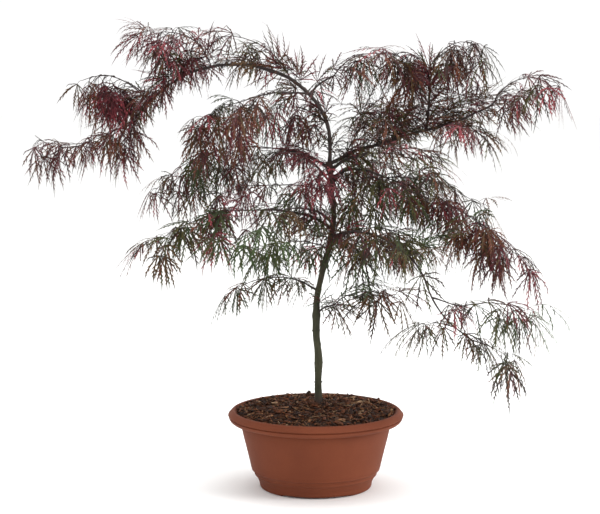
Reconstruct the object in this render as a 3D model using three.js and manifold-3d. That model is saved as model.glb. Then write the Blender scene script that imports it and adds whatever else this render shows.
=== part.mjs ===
// A weeping laceleaf Japanese maple in a round terracotta-coloured plastic bowl.
// Millimetres, +Z up. The origin is the centre of the bowl's flat underside. The crown is widest along X.
//
// Everything that grows is a shoot: it leaves a point on its parent and walks away from it, bending evenly.
// way = [heading, lift, length, fall, turn]: the heading in plan (0 is +X, 90 is +Y), the lift above level,
// the length, and how far the lift falls and the heading turns from its foot to its tip, in degrees.
import * as THREE from "three";
import { mergeVertices } from "three/addons/utils/BufferGeometryUtils.js";
import Module from "manifold-3d";

const wasm = await Module();
wasm.setup();

const SEAT = 0.35; // the gap between two solids that touch, in the cut solids
const SHOOT_STEPS = 24; // steps in a shoot's walk

const bowl = {
  height: 133,
  underside: 92, // radius of the flat that it stands on
  foot: 95.5,
  knee: { radius: 110.2, z: 37 }, // where the wall turns in towards the foot
  neck: { radius: 128.4, z: 110 }, // the wall's top, just under the rim
  rim: 149.5,
  mouth: 137.5,
  wall: 3,
  floor: 4,
  segments: 32,
};
const footGap = { count: 3, spread: 76, height: 2.5, inner: 82 }; // shallow arches that drain the underside
const compost = { edge: 129, shoulder: 10, rise: 3.5, top: 137, flat: 24, gap: 0.4 };
const trunk = {
  foot: [5, 0, compost.top - 4], // the trunk is cut flat at the compost's surface
  arcs: [
    [0, 92, 110, 0, 0],
    [0, 93, 160, 18, 0],
    [0, 75, 155, -28, 0],
  ],
  radii: [6.4, 6.3, 6.7, 5.3, 4.6, 3.9, 3.9], // at even steps from foot to fork
  flare: { reach: 0.05, radius: 3.2 }, // the root flare's share of the length, and what it adds
};

// Each limb: its parent, how far along the parent it leaves, its way, and its radius at foot and tip.
const limbs = {
  leader_rise: { on: "trunk", at: 0.985, way: [-157, 98, 201, 76, -19], thick: [3.3, 2.9] },
  leader_arch: { on: "leader_rise", at: 1, way: [-166, 16, 229, 60, -28], thick: [2.8, 1.8] },
  left_high_bough: { on: "leader_rise", at: 0.64, way: [-147, 14, 53, 13, -2], thick: [1.8, 1.6] },
  inner_right_bough: { on: "leader_rise", at: 0.63, way: [26, 53, 56, 37, -3], thick: [1.8, 1.5] },
  left_middle_bough: { on: "trunk", at: 0.97, way: [159, 38, 97, 34, 0], thick: [2.8, 2.2] },
  left_low_bough: { on: "trunk", at: 0.75, way: [-153, 39, 132, 41, -1], thick: [2.4, 1.9] },
  left_lowest_bough: { on: "trunk", at: 0.527, way: [145, 26, 59, 14, -3], thick: [1.7, 1.4] },
  right_upper_bough: { on: "trunk", at: 0.99, way: [7, 28, 175, 19, 5], thick: [3.1, 2.6] },
  right_crest_bough: { on: "right_upper_bough", at: 1, way: [30, 78, 96, -15, 0], thick: [2.2, 1.6] },
  right_far_bough: { on: "right_upper_bough", at: 1, way: [-19, 14, 126, -17, -2], thick: [2.2, 1.7] },
  right_under_bough: { on: "trunk", at: 0.965, way: [-27, 43, 79, 37, 0], thick: [2.8, 2.4] },
  right_slope_bough: { on: "trunk", at: 0.94, way: [29, 27, 110, 55, -3], thick: [2.3, 1.9] },
  right_low_bough: { on: "trunk", at: 0.726, way: [-29, 23, 210, 85, -1], thick: [2.3, 1.7] },
  right_drop_bough: { on: "right_low_bough", at: 1, way: [-14, -74, 124, -46, 0], thick: [1.6, 1.2] },
  right_drop_branch: { on: "right_drop_bough", at: 0.24, way: [-12, -12, 48, 6, 3], thick: [1.2, 1.1] },
  right_lowest_bough: { on: "trunk", at: 0.44, way: [-37, 46, 44, 34, -3], thick: [1.6, 1.4] },
  front_left_bough: { on: "trunk", at: 0.77, way: [-124, 38, 119, 38, 0], thick: [2.2, 1.6] },
  front_right_bough: { on: "trunk", at: 0.69, way: [-62, 35, 119, 35, 0], thick: [2.2, 1.6] },
  back_left_bough: { on: "trunk", at: 0.91, way: [121, 40, 114, 31, 0], thick: [2.3, 1.8] },
  back_right_bough: { on: "trunk", at: 0.92, way: [62, 28, 114, 30, 0], thick: [2.3, 1.8] },
};

// Each mass of leaves: its ridge is a shoot, and the leaves hang from it. hang is how far below the ridge
// they reach, wide how far they spread across it.
const masses = {
  left_end_crest: { on: "leader_arch", at: 1, way: [172, 56, 138, 86, -7], hang: 112, wide: 84 },
  left_end_skirt: { on: "leader_arch", at: 0.98, way: [156, -50, 146, -36, 10], hang: 86, wide: 96 },
  left_tip: { on: "left_end_skirt", at: 0.88, way: [170, -26, 134, -78, 4], hang: 74, wide: 56 },
  upper_left_peak: { on: "leader_arch", at: 0.46, way: [171, 74, 160, 112, -3], hang: 116, wide: 100 },
  crest_fan: { on: "leader_rise", at: 0.84, way: [166, 70, 206, 114, 6], hang: 72, wide: 92 },
  left_high_fan: { on: "left_high_bough", at: 1, way: [-153, -4, 210, 40, -14], hang: 100, wide: 140 },
  left_high_inner: { on: "leader_rise", at: 0.34, way: [172, 52, 122, 84, 0], hang: 112, wide: 96 },
  left_middle_fan: { on: "left_middle_bough", at: 1, way: [162, 10, 284, 66, 7], hang: 84, wide: 130 },
  left_third_fan: { on: "trunk", at: 0.88, way: [-168, 24, 280, 66, 0], hang: 74, wide: 90 },
  left_low_fan: { on: "left_low_bough", at: 1, way: [-151, 6, 266, 50, -20], hang: 90, wide: 130 },
  left_inner_green: { on: "trunk", at: 0.68, way: [158, 25, 160, 73, 6], hang: 58, wide: 84 },
  left_lowest_fan: { on: "left_lowest_bough", at: 1, way: [161, 6, 182, 66, 9], hang: 78, wide: 84 },
  inner_right_fan: { on: "inner_right_bough", at: 1, way: [22, 54, 168, 98, -14], hang: 100, wide: 110 },
  right_crest_inner: { on: "right_crest_bough", at: 1, way: [-166, 74, 108, 118, 7], hang: 104, wide: 84 },
  right_crest_fan: { on: "right_crest_bough", at: 1, way: [10, 80, 172, 158, 2], hang: 112, wide: 120 },
  middle_right_fan: { on: "right_upper_bough", at: 0.24, way: [-42, 82, 156, 104, 42], hang: 92, wide: 100 },
  right_shoulder: { on: "right_far_bough", at: 0.08, way: [22, 60, 196, 136, -17], hang: 88, wide: 130 },
  right_shoulder_front: { on: "right_far_bough", at: 0.03, way: [-48, 24, 130, 62, 27], hang: 66, wide: 96 },
  right_far_fan: { on: "right_far_bough", at: 1, way: [-17, 68, 166, 134, 9], hang: 92, wide: 92 },
  right_under_fan: { on: "right_under_bough", at: 1, way: [-27, 13, 140, 61, 15], hang: 58, wide: 86 },
  centre_right_fan: { on: "trunk", at: 0.86, way: [-42, 54, 191, 103, 20], hang: 104, wide: 110 },
  right_middle_fan: { on: "right_slope_bough", at: 1, way: [18, 2, 216, 46, -9], hang: 90, wide: 110 },
  right_slope_fan: { on: "right_slope_bough", at: 1, way: [-25, -15, 330, 34, 18], hang: 78, wide: 120 },
  right_low_fan: { on: "trunk", at: 0.69, way: [-32, 44, 210, 88, 7], hang: 104, wide: 100 },
  right_low_spray: { on: "right_low_bough", at: 0.74, way: [-26, 35, 116, 89, 18], hang: 58, wide: 76 },
  right_lowest_fan: { on: "right_lowest_bough", at: 1, way: [-31, 46, 156, 92, 18], hang: 76, wide: 90 },
  drop_upper_fan: { on: "right_drop_branch", at: 1, way: [-9, 16, 214, 60, 0], hang: 58, wide: 76 },
  drop_inner_fan: { on: "right_drop_bough", at: 0.72, way: [-165, 22, 112, 70, -7], hang: 80, wide: 66 },
  drop_lower_fan: { on: "right_drop_bough", at: 1, way: [-10, -16, 156, 28, 4], hang: 84, wide: 84 },
  centre_front_fan: { on: "trunk", at: 0.95, way: [-118, 12, 104, 84, -22], hang: 76, wide: 84 },
  front_left_fan: { on: "front_left_bough", at: 1, way: [-126, 8, 206, 62, -10], hang: 76, wide: 150 },
  front_right_fan: { on: "front_right_bough", at: 1, way: [-62, 8, 206, 58, 10], hang: 76, wide: 150 },
  back_left_fan: { on: "back_left_bough", at: 1, way: [118, 8, 240, 62, 10], hang: 90, wide: 180 },
  back_right_fan: { on: "back_right_bough", at: 1, way: [60, 8, 240, 60, -10], hang: 90, wide: 180 },
  back_low_fan: { on: "trunk", at: 0.67, way: [92, 26, 270, 74, 0], hang: 80, wide: 150 },
  upper_back_left: { on: "leader_rise", at: 0.46, way: [132, 34, 190, 80, -10], hang: 92, wide: 150 },
  upper_back_right: { on: "right_upper_bough", at: 0.5, way: [66, 56, 190, 92, 10], hang: 92, wide: 150 },
};
const cap = 9; // how far a mass rises above its ridge
const massRings = 6;
const massSides = 8;
const unevenness = 0.16;

// Colour and roughness of each finish.
const finishes = {
  bowl: [0x7d4632, 0.45],
  compost: [0x332017, 0.95],
  trunk_bark: [0x454230, 0.8],
  bough_bark: [0x261c1c, 0.8],
  leaf_crimson: [0x6b2124, 0.6],
  leaf_bronze: [0x4d2e29, 0.6],
  leaf_olive: [0x474029, 0.6],
  leaf_green: [0x293d1f, 0.6],
};
// The masses that turn crimson in the sun, and those that stay green in the shade. The rest are bronze.
const tints = {
  leaf_crimson: [
    ...["left_end_crest", "left_tip", "upper_left_peak"],
    ...["right_far_fan", "centre_front_fan", "right_slope_fan"],
  ],
  leaf_olive: [
    ...["drop_upper_fan", "drop_inner_fan", "drop_lower_fan", "front_right_fan", "centre_right_fan"],
    ...["right_middle_fan", "back_left_fan", "back_right_fan", "left_third_fan"],
  ],
  leaf_green: [
    ...["left_inner_green", "left_lowest_fan", "right_lowest_fan", "right_low_fan", "right_low_spray"],
    ...["front_left_fan", "back_low_fan", "left_low_fan"],
  ],
};
const tintOf = (name) => Object.keys(tints).find((tint) => tints[tint].includes(name)) ?? "leaf_bronze";

// ---- shoots ----

const rad = THREE.MathUtils.degToRad;

// The unit vector of a heading and a lift, both in degrees.
function direction(heading, lift) {
  const level = Math.cos(rad(lift));
  const [ahead, aside] = [Math.cos(rad(heading)), Math.sin(rad(heading))];
  return new THREE.Vector3(level * ahead, level * aside, Math.sin(rad(lift)));
}

// The points and directions of a shoot that leaves start and bends evenly along its way.
function walk(start, [heading, lift, length, fall, turn]) {
  const path = [{ at: start.clone(), along: direction(heading, lift) }];
  const here = start.clone();
  for (let i = 0; i < SHOOT_STEPS; i++) {
    const half = (i + 0.5) / SHOOT_STEPS;
    const end = (i + 1) / SHOOT_STEPS;
    here.addScaledVector(direction(heading + turn * half, lift - fall * half), length / SHOOT_STEPS);
    path.push({ at: here.clone(), along: direction(heading + turn * end, lift - fall * end) });
  }
  return path;
}

// Several ways in a row, each from the last one's tip.
function chain(start, ways) {
  let path = walk(start, ways[0]);
  for (const way of ways.slice(1)) path = path.concat(walk(path.at(-1).at, way).slice(1));
  return path;
}

// The place and direction at a share of a path, from 0 at its foot to 1 at its tip.
function along(path, share) {
  const step = THREE.MathUtils.clamp(share, 0, 1) * (path.length - 1);
  const i = Math.min(Math.floor(step), path.length - 2);
  const between = step - i;
  return {
    at: path[i].at.clone().lerp(path[i + 1].at, between),
    along: path[i].along.clone().lerp(path[i + 1].along, between).normalize(),
  };
}

// ---- solids ----

// A geometry as a solid, grown all round by so many millimetres.
function solidOf(geometry, grow = 0) {
  const bare = new THREE.BufferGeometry().setAttribute("position", geometry.getAttribute("position"));
  bare.setIndex(geometry.index);
  const merged = mergeVertices(bare, 1e-3);
  merged.computeVertexNormals();
  const normal = merged.getAttribute("normal").array;
  return new wasm.Manifold(
    new wasm.Mesh({
      numProp: 3,
      vertProperties: merged.attributes.position.array.map((value, i) => value + grow * normal[i]),
      triVerts: new Uint32Array(merged.index.array),
    }),
  );
}

function geometryOf(solid) {
  const mesh = solid.getMesh();
  return new THREE.BufferGeometry()
    .setAttribute("position", new THREE.BufferAttribute(new Float32Array(mesh.vertProperties), 3))
    .setIndex(new THREE.BufferAttribute(mesh.triVerts, 1));
}

// Moves each vertex of a geometry to place(vertex).
function bend(geometry, place) {
  const position = geometry.getAttribute("position");
  const vertex = new THREE.Vector3();
  for (let i = 0; i < position.count; i++) {
    vertex.fromBufferAttribute(position, i);
    const moved = place(vertex);
    position.setXYZ(i, moved.x, moved.y, moved.z);
  }
  return geometry;
}

// A tapering limb along a path: a cylinder bent along it.
function limbSolid(path, radiusAt, sides, steps, grow) {
  const reference = Math.abs(path[0].along.z) > 0.9 ? new THREE.Vector3(0, 1, 0) : new THREE.Vector3(0, 0, 1);
  const tube = bend(new THREE.CylinderGeometry(1, 1, 1, sides, steps), ({ x, y, z }) => {
    const share = y + 0.5;
    const { at, along: forward } = along(path, share);
    const side = new THREE.Vector3().crossVectors(reference, forward).normalize();
    const over = new THREE.Vector3().crossVectors(side, forward);
    return at.addScaledVector(side, x * radiusAt(share)).addScaledVector(over, z * radiusAt(share));
  });
  return solidOf(tube, grow);
}

// A mass of leaves: a sphere drawn out along its ridge. Its sections stand upright, so it hangs straight
// down, and its skin is uneven in a way of its own.
function massSolid(path, { hang, wide }, seed, grow) {
  const blob = bend(new THREE.SphereGeometry(1, massSides, massRings), ({ x, y, z }) => {
    const share = Math.acos(THREE.MathUtils.clamp(y, -1, 1)) / Math.PI;
    const { at, along: forward } = along(path, share);
    const around = Math.atan2(z, x);
    const across = Math.sin(3 * around + 2.1 * seed) * Math.cos(5 * share + seed);
    const lengthwise = 0.6 * Math.sin(9 * share + 4 * seed);
    const round = Math.pow(Math.max(0, Math.sin(Math.PI * share)), 0.7);
    const size = round * (1 + unevenness * (across + lengthwise));
    const left = new THREE.Vector3(-forward.y, forward.x, 0).setLength((Math.cos(around) * wide * size) / 2);
    return at.add(left).add(new THREE.Vector3(0, 0, Math.sin(around) * (z < 0 ? hang : cap) * size));
  });
  return solidOf(blob, grow);
}

function boxesMeet(a, b) {
  const first = a.boundingBox();
  const second = b.boundingBox();
  return [0, 1, 2].every((k) => first.min[k] <= second.max[k] && second.min[k] <= first.max[k]);
}

// Cuts tools out of a solid and keeps the largest piece.
function cut(solid, tools) {
  let left = solid;
  for (const tool of tools) if (boxesMeet(left, tool)) left = left.subtract(tool);
  return left.decompose().reduce((best, piece) => (piece.volume() > best.volume() ? piece : best));
}

function bowlSolid() {
  const { height, underside, foot, knee, neck, rim, mouth, wall, floor } = bowl;
  const outside = [
    [0, 0],
    [underside, 0],
    [foot - 1.2, 1],
    [foot, 4],
    [foot + 1, 10],
    [foot + 2.6, 11.5],
    [knee.radius - 1, knee.z - 1.5],
    [knee.radius, knee.z],
    [neck.radius, neck.z],
    [neck.radius + 6.5, neck.z + 2.5],
    [rim - 6, neck.z + 6],
    [rim - 1, neck.z + 11],
    [rim, neck.z + 14.5],
    [rim - 2.5, height - 6],
    [rim - 7.5, height - 1.5],
    [mouth + 2, height],
  ];
  const inside = [
    [mouth, height],
    [mouth - 2, height - 3],
    [neck.radius - wall, neck.z],
    [knee.radius - wall, knee.z + 1],
    [foot - wall, 10],
    [foot - wall - 2, floor],
    [0, floor],
  ];
  const profile = [...outside, ...inside].map(([radius, z]) => new THREE.Vector2(radius, z));
  const turned = new THREE.LatheGeometry(profile, bowl.segments).rotateX(Math.PI / 2);
  let solid = solidOf(turned);
  const half = rad(footGap.spread / 2);
  for (let i = 0; i < footGap.count; i++) {
    const middle = -Math.PI / 2 + (2 * Math.PI * i) / footGap.count;
    const arch = new THREE.Shape();
    arch.absarc(0, 0, bowl.foot + 5, middle - half, middle + half, false);
    arch.absarc(0, 0, footGap.inner, middle + half, middle - half, true);
    const upright = { depth: 2 * footGap.height, bevelEnabled: false, curveSegments: 10 };
    const gap = new THREE.ExtrudeGeometry(arch, upright).translate(0, 0, -footGap.height);
    solid = solid.subtract(solidOf(gap));
  }
  return solid;
}

function compostSolid() {
  const { knee, neck, foot, wall, floor, mouth, height } = bowl;
  const { edge, shoulder, rise, top, flat, gap } = compost;
  const within = (edge - neck.z) / (height - 3 - neck.z); // the edge's share of the way up inside the rim
  const reach = THREE.MathUtils.lerp(neck.radius - wall, mouth - 2, within);
  const profile = [
    [0, floor + gap],
    [foot - wall - 2 - gap, floor + gap],
    [foot - wall - gap, 10 + gap],
    [knee.radius - wall - gap, knee.z + 1],
    [neck.radius - wall - gap, neck.z],
    [reach - gap, edge],
    [reach - shoulder, edge + rise],
    [flat, top],
    [0, top],
  ].map(([radius, z]) => new THREE.Vector2(radius, z));
  return solidOf(new THREE.LatheGeometry(profile, bowl.segments).rotateX(Math.PI / 2));
}

// ---- the tree ----

const paths = { trunk: chain(new THREE.Vector3(...trunk.foot), trunk.arcs) };
for (const [name, { on, at, way }] of Object.entries({ ...limbs, ...masses })) {
  paths[name] = walk(along(paths[on], at).at, way);
}

function trunkRadius(share) {
  const step = share * (trunk.radii.length - 1);
  const i = Math.min(Math.floor(step), trunk.radii.length - 2);
  const flare = trunk.flare.radius * Math.max(0, 1 - share / trunk.flare.reach);
  return THREE.MathUtils.lerp(trunk.radii[i], trunk.radii[i + 1], step - i) + flare;
}
const taper = ([foot, tip]) => (share) => THREE.MathUtils.lerp(foot, tip, share);

const woody = [{ name: "trunk", build: (grow) => limbSolid(paths.trunk, trunkRadius, 8, 22, grow) }];
for (const [name, { thick }] of Object.entries(limbs)) {
  woody.push({ name, build: (grow) => limbSolid(paths[name], taper(thick), 5, 5, grow) });
}
// Each woody piece is cut clear of the ones before it.
const wood = {};
woody.forEach(({ name, build }, i) => {
  wood[name] = cut(
    build(0),
    woody.slice(0, i).map((earlier) => earlier.build(SEAT)),
  );
});
const ground = new THREE.BoxGeometry(80, 80, 40).translate(0, 0, compost.top + SEAT - 20);
wood.trunk = cut(wood.trunk, [solidOf(ground)]);

// Each mass is cut clear of the wood and of the masses before it.
const woodRoom = woody.map(({ build }) => build(SEAT));
const leafyRoom = [];
const leafy = {};
Object.entries(masses).forEach(([name, mass], i) => {
  const solid = (grow) => massSolid(paths[name], mass, i + 1, grow);
  leafy[name] = cut(solid(0), [...woodRoom, ...leafyRoom]);
  leafyRoom.push(solid(SEAT));
});

const maple = new THREE.Group();
function add(name, solid, kind) {
  const [color, roughness] = finishes[kind];
  const finish = new THREE.MeshStandardMaterial({ color, roughness, metalness: 0 });
  const mesh = new THREE.Mesh(geometryOf(solid), finish);
  mesh.name = name;
  maple.add(mesh);
}
add("bowl", bowlSolid(), "bowl");
add("compost", compostSolid(), "compost");
for (const { name } of woody) add(name, wood[name], name === "trunk" ? "trunk_bark" : "bough_bark");
for (const name in masses) add(name, leafy[name], tintOf(name));

export default maple;
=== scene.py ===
from math import cos, pi, radians, sin

import bpy
import numpy as np
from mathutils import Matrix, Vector


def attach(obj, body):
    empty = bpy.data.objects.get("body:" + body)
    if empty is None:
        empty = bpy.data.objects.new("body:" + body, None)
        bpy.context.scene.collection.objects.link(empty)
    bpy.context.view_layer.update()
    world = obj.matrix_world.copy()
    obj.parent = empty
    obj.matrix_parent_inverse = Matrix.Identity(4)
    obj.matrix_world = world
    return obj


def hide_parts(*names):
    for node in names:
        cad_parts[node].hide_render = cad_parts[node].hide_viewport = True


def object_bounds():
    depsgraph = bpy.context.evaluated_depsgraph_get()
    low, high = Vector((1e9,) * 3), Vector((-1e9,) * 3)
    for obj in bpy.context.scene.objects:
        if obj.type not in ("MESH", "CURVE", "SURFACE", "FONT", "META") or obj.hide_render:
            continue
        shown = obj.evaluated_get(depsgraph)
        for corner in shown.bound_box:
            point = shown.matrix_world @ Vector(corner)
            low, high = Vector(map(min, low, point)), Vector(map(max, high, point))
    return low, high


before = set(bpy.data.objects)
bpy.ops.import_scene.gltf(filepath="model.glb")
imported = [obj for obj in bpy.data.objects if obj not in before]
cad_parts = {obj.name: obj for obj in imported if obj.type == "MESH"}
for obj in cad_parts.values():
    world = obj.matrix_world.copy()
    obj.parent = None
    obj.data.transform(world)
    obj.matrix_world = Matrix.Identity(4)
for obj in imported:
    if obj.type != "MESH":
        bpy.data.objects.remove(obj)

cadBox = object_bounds()
mm = 0.001
down = np.array([0.0, 0.0, -1.0])

# camera, floor and light

cameraPlan = {
    "place": (-0.02693, -3.2, 0.8015),
    "pitch": 7.248,  # degrees below level
    "lens": 114.709,  # mm
    "sensor": 36,  # mm wide
}
lampPlan = {  # place, size in metres, watts
    "key": ((3.5, -0.9, 1.7), 1.8, 105),
    "fill": ((-3.0, -1.2, 1.8), 2.4, 6),
    "top": ((0.0, 0.3, 3.4), 2.6, 66),
}
lampAim = (0, 0, 0.4)
skyStrength = 1.04
floorReach = 12.0
scene = bpy.context.scene


def linear(code):
    # a colour picker's hex code as Blender's linear colour
    channels = [int(code[i : i + 2], 16) / 255 for i in (0, 2, 4)]
    return [c / 12.92 if c <= 0.04045 else ((c + 0.055) / 1.055) ** 2.4 for c in channels] + [1.0]


def setInputs(node, **sockets):
    for socket, value in sockets.items():
        node.inputs[socket.replace("_", " ")].default_value = value


def addNode(nodes, kind, **sockets):
    node = nodes.new("ShaderNode" + kind)
    setInputs(node, **sockets)
    return node


def newMaterial(name, code, roughness, **sockets):
    material = bpy.data.materials.new(name)
    material.use_nodes = True
    shader = material.node_tree.nodes["Principled BSDF"]
    setInputs(shader, Base_Color=linear(code), Roughness=roughness, **sockets)
    return material


def deselectAll():
    bpy.ops.object.select_all(action="DESELECT")


def makeActive(piece):
    deselectAll()
    piece.select_set(True)
    bpy.context.view_layer.objects.active = piece


def placeCamera():
    camera = bpy.data.cameras.new("camera")
    camera.lens = cameraPlan["lens"]
    camera.sensor_width = cameraPlan["sensor"]
    camera.clip_end = 60
    holder = bpy.data.objects.new("camera", camera)
    holder.location = cameraPlan["place"]
    holder.rotation_euler = (radians(90 - cameraPlan["pitch"]), 0, 0)
    scene.collection.objects.link(holder)
    scene.camera = holder


def placeLamps():
    for name, (place, size, watts) in lampPlan.items():
        lamp = bpy.data.lights.new(name, "AREA")
        lamp.size = size
        lamp.energy = watts
        holder = bpy.data.objects.new(name, lamp)
        holder.location = place
        holder.rotation_euler = (Vector(lampAim) - Vector(place)).to_track_quat("-Z", "Y").to_euler()
        scene.collection.objects.link(holder)
    world = bpy.data.worlds.new("studio")
    world.use_nodes = True
    setInputs(world.node_tree.nodes["Background"], Color=(1, 1, 1, 1), Strength=skyStrength)
    scene.world = world
    scene.view_settings.view_transform = "Standard"


def layFloor():
    deselectAll()
    bpy.ops.mesh.primitive_plane_add(size=2 * floorReach, location=(0, 0, -0.0005))
    floor = bpy.context.object
    floor.name = "floor"
    floor.data.materials.append(newMaterial("pale floor", "fbfbfa", 0.8))


placeCamera()
placeLamps()
layFloor()
print("camera, lamps and floor placed")

# materials


def nodeGroup(name, inputs, outputs):
    group = bpy.data.node_groups.new(name, "ShaderNodeTree")
    for socket, kind, value in inputs:
        made = group.interface.new_socket(socket, in_out="INPUT", socket_type=kind)
        made.default_value = value
    for socket, kind in outputs:
        group.interface.new_socket(socket, in_out="OUTPUT", socket_type=kind)
    return group, group.nodes.new("NodeGroupInput"), group.nodes.new("NodeGroupOutput")


def mottleGroup():
    # two shades of one colour in soft patches under fine grain, and the height that goes with them
    group, given, out = nodeGroup(
        "mottle",
        [
            ("Light", "NodeSocketColor", (0.5, 0.5, 0.5, 1)),
            ("Dark", "NodeSocketColor", (0.2, 0.2, 0.2, 1)),
            ("Patch Scale", "NodeSocketFloat", 40.0),
            ("Grain Scale", "NodeSocketFloat", 400.0),
            ("Stretch", "NodeSocketFloat", 1.0),
        ],
        [("Color", "NodeSocketColor"), ("Height", "NodeSocketFloat"), ("Roughness", "NodeSocketFloat")],
    )
    nodes, link = group.nodes, group.links.new
    place = addNode(nodes, "TexCoord")
    apart = addNode(nodes, "SeparateXYZ")
    join = addNode(nodes, "CombineXYZ")
    squeeze = addNode(nodes, "Math")
    squeeze.operation = "MULTIPLY"
    link(place.outputs["Object"], apart.inputs[0])
    link(apart.outputs[0], join.inputs[0])
    link(apart.outputs[1], join.inputs[1])
    link(apart.outputs[2], squeeze.inputs[0])
    link(given.outputs["Stretch"], squeeze.inputs[1])
    link(squeeze.outputs[0], join.inputs[2])
    patches = addNode(nodes, "TexNoise", Detail=4)
    grain = addNode(nodes, "TexNoise", Detail=3)
    for noise, scale in ((patches, "Patch Scale"), (grain, "Grain Scale")):
        link(join.outputs[0], noise.inputs["Vector"])
        link(given.outputs[scale], noise.inputs["Scale"])
    both = addNode(nodes, "Mix", Factor=0.4)
    link(patches.outputs["Fac"], both.inputs["A"])
    link(grain.outputs["Fac"], both.inputs["B"])
    spread = addNode(nodes, "MapRange", From_Min=0.35, From_Max=0.65)
    link(both.outputs["Result"], spread.inputs["Value"])
    tone = addNode(nodes, "Mix")
    tone.data_type = "RGBA"
    link(spread.outputs["Result"], tone.inputs["Factor"])
    link(given.outputs["Dark"], tone.inputs["A"])
    link(given.outputs["Light"], tone.inputs["B"])
    rough = addNode(nodes, "MapRange", To_Min=0.9, To_Max=0.6)
    link(both.outputs["Result"], rough.inputs["Value"])
    link(tone.outputs["Result"], out.inputs["Color"])
    link(both.outputs["Result"], out.inputs["Height"])
    link(rough.outputs["Result"], out.inputs["Roughness"])
    return group


mottle = mottleGroup()


def mottleNode(nodes, light, dark, patchScale, grainScale, stretch):
    look = addNode(nodes, "Group")
    look.node_tree = mottle
    setInputs(look, Light=linear(light), Dark=linear(dark))
    setInputs(look, Patch_Scale=patchScale, Grain_Scale=grainScale, Stretch=stretch)
    return look


def mottled(name, light, dark, patchScale, grainScale, stretch=1.0, bump=0.3, depth=0.0005, **sockets):
    material = newMaterial(name, light, 0.7, **sockets)
    nodes, link = material.node_tree.nodes, material.node_tree.links.new
    shader = nodes["Principled BSDF"]
    look = mottleNode(nodes, light, dark, patchScale, grainScale, stretch)
    relief = addNode(nodes, "Bump", Strength=bump, Distance=depth)
    link(look.outputs["Color"], shader.inputs["Base Color"])
    link(look.outputs["Roughness"], shader.inputs["Roughness"])
    link(look.outputs["Height"], relief.inputs["Height"])
    link(relief.outputs["Normal"], shader.inputs["Normal"])
    return material


# the pot

potPlan = {
    "sides": 160,
    # radius and height in mm, from the underside up the outside, over the rim and down inside
    "profile": [
        *[(82, 0), (92, 0), (93.4, 0.4), (94.6, 1.4), (95.4, 3.2), (96, 7), (96.5, 10.4), (97.2, 11.6)],
        *[(100.4, 18.4), (102.2, 21.2), (103.7, 21.8), (104.5, 22.9), (104.1, 24.2), (105.2, 27)],
        *[(107, 29.8), (108.6, 30.5), (109.5, 31.7), (109.3, 33), (110.2, 35), (110.8, 36.4), (111, 38)],
        *[(114.8, 54), (119, 71), (123.3, 88), (127.4, 106.4), (127.2, 108.6), (127, 110.6)],
        *[(128.2, 111.6), (134, 112), (139.6, 112.8), (143.4, 114), (145.9, 116)],
        *[(147.4, 118.4), (148.2, 120.6), (146.5, 121.8), (147, 122.8), (149.1, 123.6), (149.5, 124.5)],
        *[(149.2, 125.5), (148.2, 126.3), (147.5, 127.3), (145.9, 129.4), (144.9, 130), (144.3, 131.1)],
        *[(142.6, 132.4), (140.4, 133.2), (138.6, 133), (137.6, 132), (137.2, 130.8), (135.3, 129.4)],
        *[(130, 119), (125.2, 109.5), (116.5, 74), (107.6, 38), (99.4, 24), (92, 10.5), (90, 4)],
    ],
    "archSpread": 38,  # degrees each side of an arch's middle
    "archHeight": 2.5,  # mm
    "archMiddles": (-90, 30, 150),
    "footReach": 85,  # mm from the middle, where the foot's ring begins
    "colours": ("6f351b", "622e19"),  # light and dark
}


def turnedShell(name, profile, sides):
    # a ring of edges pulled from one profile point to the next, then both open ends are filled
    deselectAll()
    radius, height = profile[0]
    bpy.ops.mesh.primitive_circle_add(vertices=sides, radius=radius * mm, location=(0, 0, height * mm))
    shell = bpy.context.object
    shell.name = name
    bpy.ops.object.transform_apply(location=True, rotation=True, scale=True)
    bpy.ops.object.mode_set(mode="EDIT")
    bpy.ops.mesh.select_all(action="SELECT")
    for nextRadius, nextHeight in profile[1:]:
        rise = (0, 0, (nextHeight - height) * mm)
        bpy.ops.mesh.extrude_edges_move(TRANSFORM_OT_translate={"value": rise})
        grow = nextRadius / radius
        bpy.ops.transform.resize(value=(grow, grow, 1), center_override=(0, 0, nextHeight * mm))
        radius, height = nextRadius, nextHeight
    bpy.ops.mesh.edge_face_add()
    bpy.ops.mesh.select_all(action="DESELECT")
    bpy.ops.mesh.select_non_manifold()
    bpy.ops.mesh.edge_face_add()
    bpy.ops.mesh.select_all(action="SELECT")
    bpy.ops.mesh.normals_make_consistent(inside=False)
    bpy.ops.object.mode_set(mode="OBJECT")
    return shell


def smoothShell(piece, degrees):
    makeActive(piece)
    bpy.ops.object.shade_smooth_by_angle(angle=radians(degrees))


def buildPot():
    pot = turnedShell("pot", potPlan["profile"], potPlan["sides"])
    rise = potPlan["archHeight"] * mm
    for vertex in pot.data.vertices:
        x, y, z = vertex.co
        reach = (x * x + y * y) ** 0.5
        if reach < potPlan["footReach"] * mm or z >= rise:
            continue
        bearing = np.degrees(np.arctan2(y, x))
        for middle in potPlan["archMiddles"]:
            if abs((bearing - middle + 180) % 360 - 180) <= potPlan["archSpread"]:
                vertex.co.z = rise
    smoothShell(pot, 40)
    relief = {"bump": 0.12, "depth": 0.0002, "Specular_IOR_Level": 0.26}
    plastic = mottled("terracotta plastic", *potPlan["colours"], 14, 900, **relief)
    pot.data.materials.append(plastic)
    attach(pot, "root")
    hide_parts("bowl")


buildPot()
print("pot turned")

# shoots: everything that grows is one
# way: heading in plan, lift above level, length in mm, how far the lift falls and the heading turns
# from foot to tip, with angles in degrees

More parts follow.
